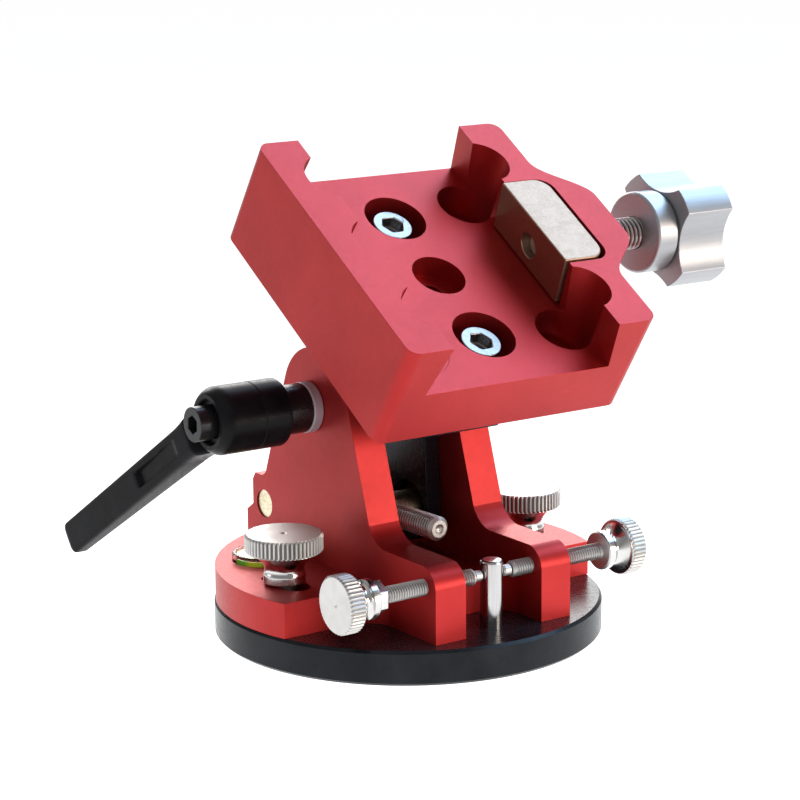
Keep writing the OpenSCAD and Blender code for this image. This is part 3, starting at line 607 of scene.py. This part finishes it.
profile = np.concatenate([[(0.0, -back)], rod, refined(pointProfile, pointStep)])
altitudeScrew = turnedPiece("altitude_rod", profile, barrelCentre, -screwAxis, altitudeLook["around"],
                            relief=thread(pitch, threadDepth, -back, front - point, radius),
                            sharp=altitudeLook["sharp"])
fit(altitudeScrew, stainless, "alt_screw", "stainless", "altitude_screw")
print("screws made")


# Altitude barrels, bolt and washers, and the plain screws: each with the width of its broken edges.
for node, finish, body, slotName, edge in (
        ("rear_barrel", brassPlain, "trunnion", "brass", 0.35),
        ("nut_barrel", brassPlain, "nut", "brass", 0.35),
        ("thrust_collar", stainlessPlain, "alt_screw", "stainless", 0.25),
        ("altitude_bolt", stainlessPlain, "fork", "stainless", 0.4),
        ("lever_screw", blackSteel, "lever", "dark_steel", 0.3),
        ("saddle_screws", platedScrew, "altitude", "bright_screw", 0.5)):
    copy = bevelledCopy(node + "_finished", node, edge * mm)
    fit(copy, finish, body, slotName, node)

washerLook = {"inner": 4.0, "edge": 0.25, "rowStep": 1.0, "around": 72}
inner, edge, rowStep = metres(washerLook, "inner", "edge", "rowStep")
for node in ("bolt_washer", "lever_washer"):
    low, high = nodeBox(node)
    half, _, outer = (high - low) / 2
    profile = [(inner, -half), (outer - edge, -half), (outer, edge - half), (outer, half - edge),
               (outer - edge, half), (inner, half)]
    washer = turnedPiece(node + "_ring", refinedRing(profile, rowStep), (low + high) / 2, xAxis,
                         washerLook["around"], closed=True)
    fit(washer, washerMetal, "fork", "washer_grey", node)
print("altitude parts made")


# Clamp lever. The hub is a sleeve with a parting seam round it and a recess for the screw's head. Its start
# and end are counted outwards from the middle of the mount, the seam from the start, and the rounding, the
# recess and the bore's end from the end. A seam step is (distance past the seam, share of its depth).
hubLook = {"radius": 8.25, "start": 29.5, "end": 48.5, "edge": 0.6, "seam": 7.2, "seamDepth": 0.12,
           "seamSteps": ((0.0, 0), (0.1, 1), (0.3, 1), (0.4, 0)), "roundLength": 2.6, "roundWidth": 1.6,
           "roundCorner": (0.5, 0.8), "recess": 1.5, "recessRadius": 5.4, "recessEdge": 0.3, "bore": 5.4,
           "hole": 2.6, "boreEnd": 7.0, "rowStep": 1.2, "around": 96}
pivot = np.array(joints["clamp_lever_turn"]["pos_m"])
pivot[0] = 0.0
hubRadius, hubStart, hubEnd, edge = metres(hubLook, "radius", "start", "end", "edge")
seam, seamDepth, roundLength, roundWidth = metres(hubLook, "seam", "seamDepth", "roundLength", "roundWidth")
recess, recessRadius, recessEdge = metres(hubLook, "recess", "recessRadius", "recessEdge")
bore, hole, boreEnd, rowStep = metres(hubLook, "bore", "hole", "boreEnd", "rowStep")
cornerIn, cornerBack = (value * mm for value in hubLook["roundCorner"])
profile = [(bore, hubStart), (hubRadius - edge, hubStart)]
profile += rounded((hubRadius - edge, hubStart), (hubRadius, hubStart), (hubRadius, hubStart + edge))
profile += [(hubRadius - dip * seamDepth, hubStart + seam + offset * mm)
            for offset, dip in hubLook["seamSteps"]]
profile += [(hubRadius, hubEnd - roundLength)]
profile += rounded((hubRadius, hubEnd - roundLength), (hubRadius - cornerIn, hubEnd - cornerBack),
                   (hubRadius - roundWidth, hubEnd), count=8)
profile += [(recessRadius + recessEdge, hubEnd), (recessRadius, hubEnd - recessEdge),
            (recessRadius, hubEnd - recess), (hole, hubEnd - recess), (hole, hubEnd - boreEnd),
            (bore, hubEnd - boreEnd)]
hub = turnedPiece("clamp_lever_handle", refinedRing(profile, rowStep), pivot, -xAxis, hubLook["around"],
                  closed=True)

# The arm, with lengths in millimetres and the drop and the sharp angle in degrees. A face's points are (reach
# from the altitude axis, place beyond the hub's end or start), and its last one is at the arm's tip.
armLook = {
    "start": 1.5, "length": 64.88, "width": 9.2, "taper": 0.35, "shift": 0.5, "drop": 37.0, "squareness": 5.0,
    "outerFace": ((0, -2.0), (5.8, -1.6), (8.4, 1.6)), "outerTip": 11.5,  # both from the hub's end
    "innerFace": ((0, 9.5), (8.25, 11.5)), "innerTip": 7.1,  # from the hub's start, and from its end
    "flareReach": 14.0, "flareLength": 9.0, "flare": 1.8, "endLength": 1.6, "endPower": 2.4,
    "endWidth": 0.45, "endThickness": 0.5, "spacing": 1.15, "rows": 150, "around": 120, "sharp": 40,
}
slotLook = {"start": 14.0, "end": 31.0, "half": 2.0, "depth": 1.3, "startEase": 1.2, "endEase": 0.5,
            "sideEase": 0.4, "shallow": 0.35, "deepenOver": 17.0, "outerShare": 0.6}


# A straight ramp from 0 to 1 of the given width about the value 0.
def stepUp(value, width):
    return np.clip(value / width + 0.5, 0, 1)


# The arm's long slot: how deep its outer face sinks at each reach from the axis and each place across it.
def slotDepth(look, reach, place):
    start, end, half, depth = metres(look, "start", "end", "half", "depth")
    startEase, endEase, sideEase, deepenOver = metres(look, "startEase", "endEase", "sideEase", "deepenOver")
    lengthwise = stepUp(reach - start, startEase) * stepUp(end - reach, endEase)
    inside = lengthwise * stepUp(half - np.abs(place), sideEase)
    deepening = look["shallow"] + (1 - look["shallow"]) * np.clip((reach - start) / deepenOver, 0, 1)
    return depth * inside * deepening


# Lever arm: a rounded bar swept down the arm. At each reach from the axis its outer and inner faces lie on
# straight slopes, its half width eases from the hub to the grip, and its section is a superellipse.
def leverArm(look):
    rows, around = look["rows"], look["around"]
    start, length, taper, shift = metres(look, "start", "length", "taper", "shift")
    flareReach, flareLength, flare = metres(look, "flareReach", "flareLength", "flare")
    endLength, outerTip, innerTip = metres(look, "endLength", "outerTip", "innerTip")
    share = np.linspace(0, 1, rows)
    reach = start + (length - start) * (1 - (1 - share) ** look["spacing"])
    past = np.clip((reach - (length - endLength)) / endLength, 0, 1)
    endFall = np.sqrt(np.clip(1 - past ** look["endPower"], 0, 1))
    rootFlare = np.clip((flareReach - reach) / flareLength, 0, 1) ** 2 * flare
    halfWidth = look["width"] / 2 * mm - taper * reach / length + rootFlare
    halfWidth = halfWidth * (look["endWidth"] + (1 - look["endWidth"]) * endFall)
    outerReach, outerPlace = np.array(look["outerFace"]).T * mm
    innerReach, innerPlace = np.array(look["innerFace"]).T * mm
    outerFace = np.interp(reach, [*outerReach, length], [*(hubEnd + outerPlace), hubEnd + outerTip])
    innerFace = np.interp(reach, [*innerReach, length], [*(hubStart + innerPlace), hubEnd + innerTip])
    middle, thick = (outerFace + innerFace) / 2, (outerFace - innerFace) / 2
    thick = thick * (look["endThickness"] + (1 - look["endThickness"]) * endFall)
    angle = np.linspace(0, 2 * math.pi, around + 1)
    angle[-1] = 0.0
    power = 2 / look["squareness"]
    across = np.sign(np.cos(angle)) * np.abs(np.cos(angle)) ** power
    outward = np.sign(np.sin(angle)) * np.abs(np.sin(angle)) ** power
    place = halfWidth[:, None] * across[None, :] + shift
    reachGrid = reach[:, None].repeat(around + 1, axis=1)
    fromMiddle = middle[:, None] + thick[:, None] * outward[None, :]
    onOuterFace = outward[None, :] > slotLook["outerShare"]
    fromMiddle = fromMiddle - slotDepth(slotLook, reachGrid, place - shift) * onOuterFace
    drop = math.radians(look["drop"])
    along = np.array([0.0, math.cos(drop), -math.sin(drop)])
    up = np.array([0.0, math.sin(drop), math.cos(drop)])
    points = pivot - fromMiddle[..., None] * xAxis + reachGrid[..., None] * along + place[..., None] * up
    centre = points[:, :-1].mean(axis=1)
    first, last = (np.broadcast_to(end, (1, around + 1, 3)) for end in (centre[0], centre[-1]))
    points = np.concatenate([first, points, last])
    shades = np.concatenate([[0], np.linspace(0.1, 1, rows), [1.1]])
    return gridMesh("lever_arm", points, shades, sharp=look["sharp"])


arm = leverArm(armLook)
bpy.ops.object.select_all(action="DESELECT")
hub.select_set(True)
arm.select_set(True)
bpy.context.view_layer.objects.active = hub
bpy.ops.object.join()
fit(hub, blackNylon, "lever", "black_plastic", "clamp_lever")

collarLook = {"radius": 6.05, "edge": 0.3, "groove": 0.25, "grooveStart": 0.5, "grooveFall": 0.3,
              "spigot": 5.38, "spigotEnd": 7.05, "bore": 4.05, "hole": 2.5, "holeEnd": 8.0, "boreEnd": 6.5,
              "rowStep": 1.2, "around": 72}
collarStart = -nodeBox("lever_insert")[1][0]
radius, edge, groove, spigot = metres(collarLook, "radius", "edge", "groove", "spigot")
grooveStart, grooveFall, spigotEnd = metres(collarLook, "grooveStart", "grooveFall", "spigotEnd")
bore, hole, holeEnd, boreEnd, rowStep = metres(collarLook, "bore", "hole", "holeEnd", "boreEnd", "rowStep")
profile = [(bore, collarStart), (radius - edge, collarStart), (radius, collarStart + edge),
           (radius, hubStart - grooveStart), (radius - groove, hubStart - grooveFall),
           (radius - groove, hubStart), (spigot, hubStart), (spigot, hubEnd - spigotEnd),
           (hole, hubEnd - spigotEnd), (hole, hubStart + holeEnd), (bore, hubStart + boreEnd)]
collar = turnedPiece("lever_collar", refinedRing(profile, rowStep), pivot, -xAxis, collarLook["around"],
                     closed=True)
fit(collar, blackSteel, "lever", "dark_steel", "lever_insert")
print("lever made")


# Clamp screw and star knob. The screw's places are distances from the middle of the mount: its nose ends, it
# steps out to the neck, and widens to the rod with its thread.
clampLook = {"radius": 4.0, "nose": 2.95, "noseEdge": 0.3, "noseEnd": 35.1, "neck": 3.6, "neckEnd": 35.15,
             "rodStart": 35.6, "threadStart": 35.4, "threadEnd": 80.0, "threadDepth": 0.68, "pitch": 1.25,
             "rowsPerPitch": 10, "around": 64, "sharp": 38}
low, high = nodeBox("clamp_screw")
clampCentre = np.array([0.0, (low[1] + high[1]) / 2, (low[2] + high[2]) / 2])
radius, nose, noseEdge, noseEnd = metres(clampLook, "radius", "nose", "noseEdge", "noseEnd")
neck, neckEnd, rodStart, pitch = metres(clampLook, "neck", "neckEnd", "rodStart", "pitch")
threadStart, threadEnd, threadDepth = metres(clampLook, "threadStart", "threadEnd", "threadDepth")
rod = refined([(radius, rodStart), (radius, high[0])], pitch / clampLook["rowsPerPitch"])
noseProfile = [(0.0, low[0]), (nose - noseEdge, low[0]), (nose, low[0] + noseEdge), (nose, noseEnd),
               (neck, neckEnd)]
profile = np.concatenate([noseProfile, rod, [(0.0, high[0])]])
clampScrew = turnedPiece("clamp_rod", profile, clampCentre, xAxis, clampLook["around"],
                         relief=thread(pitch, threadDepth, threadStart, threadEnd, radius),
                         sharp=clampLook["sharp"])
fit(clampScrew, stainless, "clamp", "stainless", "clamp_screw")

starLook = {"edge": 0.7}
star = bevelledCopy("star_head", "star_knob", starLook["edge"] * mm, segments=3)
fit(star, silverMilled, "clamp", "silver_aluminium", "star_knob")
print("clamp made")


# Bubble level: a clear cup with its liquid and its window.
levelLook = {"wall": 1.0, "rim": 0.4, "innerRim": 0.2, "floor": 1.0, "rowStep": 1.0, "around": 96}
low, high = nodeBox("level_cup")
middle = (low + high) / 2
wall, rim, innerRim, floorTop, rowStep = metres(levelLook, "wall", "rim", "innerRim", "floor", "rowStep")
outer = (high[0] - low[0]) / 2
inner = outer - wall
height = high[2] - low[2]
profile = [(0.0, 0.0), (outer, 0.0), (outer, height - rim)]
profile += rounded((outer, height - rim), (outer, height), (outer - rim, height))
profile += rounded((inner + innerRim, height), (inner, height), (inner, height - innerRim))
profile += [(inner, floorTop), (0.0, floorTop)]
cup = turnedPiece("level_body", refined(profile, rowStep), (middle[0], middle[1], low[2]), zAxis,
                  levelLook["around"])
fit(cup, levelWindow, "fork", "level_glass", "level_cup")

fillLook = {"clearance": 0.02, "dome": 0.15, "domeRows": 12, "rowStep": 0.8, "around": 72}
clearance, dome, rowStep = metres(fillLook, "clearance", "dome", "rowStep")
for node, finish, slotName in (("level_fluid", levelLiquid, "level_liquid"),
                               ("level_window", levelWindow, "level_glass")):
    low, high = nodeBox(node)
    middle = (low + high) / 2
    radius, tall = (high[0] - low[0]) / 2 - clearance, high[2] - low[2]
    arc = [(radius * math.cos(rise), tall - dome + dome * math.sin(rise))
           for rise in np.linspace(0, math.pi / 2, fillLook["domeRows"])]
    arc[-1] = (0.0, tall)
    body = turnedPiece(node + "_disc", refined([(0.0, 0.0), (radius, 0.0)] + arc, rowStep),
                       (middle[0], middle[1], low[2]), zAxis, fillLook["around"])
    fit(body, finish, "fork", slotName, node)
print("level made")


# Stage: a white floor that glows by itself, a little brighter in a pool round the part. The floor's size and
# the pool's radius are in metres, and the floor's drop below the part in millimetres.
floorLook = {"size": 6.0, "lines": 9, "below": 0.2, "glow": 0.94, "poolGlow": 1.50, "poolRadius": 0.34,
             "poolCore": 0.35, "sockets": {"Base Color": (0.12, 0.12, 0.12, 1), "Roughness": 0.9,
                                           "Specular IOR Level": 0.0, "Emission Color": (1, 1, 1, 1)}}
lines = floorLook["lines"]
sweep = np.linspace(-1, 1, lines) * floorLook["size"] / 2
floorX, floorY = np.meshgrid(sweep, sweep)
floorPoints = np.stack([floorX, floorY, np.full_like(floorX, -floorLook["below"] * mm)], axis=-1)
index = np.arange(lines * lines).reshape(lines, lines)
quads = np.stack([index[:-1, :-1], index[:-1, 1:], index[1:, 1:], index[1:, :-1]], axis=-1).reshape(-1, 4)
floorMesh = bpy.data.meshes.new("floor")
floorMesh.from_pydata(floorPoints.reshape(-1, 3).tolist(), [], quads.tolist())
floor = newObject("floor", floorMesh)
floorPaint, floorTree, floorShader = finishShader("floor paint", floorLook["sockets"])
floorPlace = addNode(floorTree, "ShaderNodeTexCoord")
floorDistance = addNode(floorTree, "ShaderNodeVectorMath", operation="LENGTH")
floorTree.links.new(floorPlace.outputs["Object"], floorDistance.inputs[0])
poolRadius = floorLook["poolRadius"]
pool = mapped(floorTree, floorDistance.outputs["Value"], poolRadius * floorLook["poolCore"], poolRadius,
              floorLook["poolGlow"], floorLook["glow"], interpolation_type="SMOOTHSTEP")
floorTree.links.new(pool.outputs["Result"], floorShader.inputs["Emission Strength"])
floorMesh.materials.append(floorPaint)


# Light. The sky's brightness at five heights: 0 is the horizon and 1 is straight up.
skyLook = ((0.0, 0.70), (0.10, 0.60), (0.28, 0.28), (0.70, 0.36), (1.0, 0.60))
world = bpy.data.worlds.new("studio")
bpy.context.scene.world = world
world.use_nodes = True
studioTree = world.node_tree
greySky = studioTree.nodes["Background"]
direction = addNode(studioTree, "ShaderNodeTexCoord")
directionParts = addNode(studioTree, "ShaderNodeSeparateXYZ")
sky = addNode(studioTree, "ShaderNodeValToRGB")
for place, _ in skyLook[1:-1]:
    sky.color_ramp.elements.new(place)
for element, (place, grey) in zip(sky.color_ramp.elements, skyLook):
    element.position = place
    element.color = (grey, grey, grey, 1)
studioTree.links.new(direction.outputs["Generated"], directionParts.inputs[0])
studioTree.links.new(directionParts.outputs["Z"], sky.inputs["Fac"])
studioTree.links.new(sky.outputs["Color"], greySky.inputs["Color"])

# The grey sky lights the part, and the camera sees plain white past the floor's edge.
backdrop = addNode(studioTree, "ShaderNodeBackground", {"Color": (1, 1, 1, 1)})
seen = addNode(studioTree, "ShaderNodeLightPath")
skyMix = addNode(studioTree, "ShaderNodeMixShader")
studioTree.links.new(seen.outputs["Is Camera Ray"], skyMix.inputs["Fac"])
studioTree.links.new(greySky.outputs[0], skyMix.inputs[1])
studioTree.links.new(backdrop.outputs[0], skyMix.inputs[2])
studioTree.links.new(skyMix.outputs[0], studioTree.nodes["World Output"].inputs["Surface"])

# Lamps: places, aims and sizes in metres, and powers in watts.
lampLooks = {
    "high right": {"place": (0.63, 0.02, 0.92), "aim": (0, 0, 0.08), "size": (1.05, 0.70),
                   "power": 13.0, "colour": (0.45, 0.70, 1.0)},
    "low front right": {"place": (0.62, -0.95, 0.16), "aim": (0, 0, 0.05), "size": (0.55, 0.40),
                        "power": 7.2, "colour": (1.0, 0.86, 0.74)},
    "high back": {"place": (0.45, 0.95, 0.50), "aim": (0, 0, 0.05), "size": (1.0, 0.5),
                  "power": 9.0, "colour": (1.0, 0.97, 0.96)},
    "back left": {"place": (-0.75, 0.55, 0.30), "aim": (0, 0, 0.05), "size": (0.40, 0.30),
                  "power": 0.8, "colour": (1.0, 0.96, 0.94)},
}
for name, look in lampLooks.items():
    light = bpy.data.lights.new(name, "AREA")
    light.shape = "RECTANGLE"
    light.size, light.size_y = look["size"]
    light.energy = look["power"]
    light.color = look["colour"]
    lamp = newObject(name, light)
    lamp.visible_camera = False
    place, aim = Vector(look["place"]), Vector(look["aim"])
    lamp.location = place
    lamp.rotation_euler = (aim - place).to_track_quat("-Z", "Y").to_euler()


# Camera: angles in degrees, distance, target, lens and sensor in millimetres, and clip in metres.
cameraLook = {"azimuth": 34.68, "elevation": 12.62, "distance": 612.24, "lens": 115.61, "roll": -0.47,
              "target": (-6.20, -6.16, 58.50), "sensor": 36.0, "clip": (0.01, 20.0)}
azimuth, elevation, roll = (math.radians(cameraLook[key]) for key in ("azimuth", "elevation", "roll"))
acrossShare = math.cos(elevation)
back = Vector((-math.sin(azimuth) * acrossShare, -math.cos(azimuth) * acrossShare, math.sin(elevation)))
spot = Vector(cameraLook["target"]) * mm + back * cameraLook["distance"] * mm
right = (-back).cross(Vector((0, 0, 1))).normalized()
up = right.cross(-back)
rolledRight = math.cos(roll) * right + math.sin(roll) * up
rolledUp = math.cos(roll) * up - math.sin(roll) * right
camera = newObject("camera", bpy.data.cameras.new("camera"))
camera.matrix_world = Matrix((
    (rolledRight.x, rolledUp.x, back.x, spot.x),
    (rolledRight.y, rolledUp.y, back.y, spot.y),
    (rolledRight.z, rolledUp.z, back.z, spot.z),
    (0, 0, 0, 1)))
camera.data.lens = cameraLook["lens"]
camera.data.sensor_width = cameraLook["sensor"]
camera.data.clip_start, camera.data.clip_end = cameraLook["clip"]
bpy.context.scene.camera = camera
bpy.context.scene.view_settings.view_transform = "Standard"
print("stage, light and camera made")
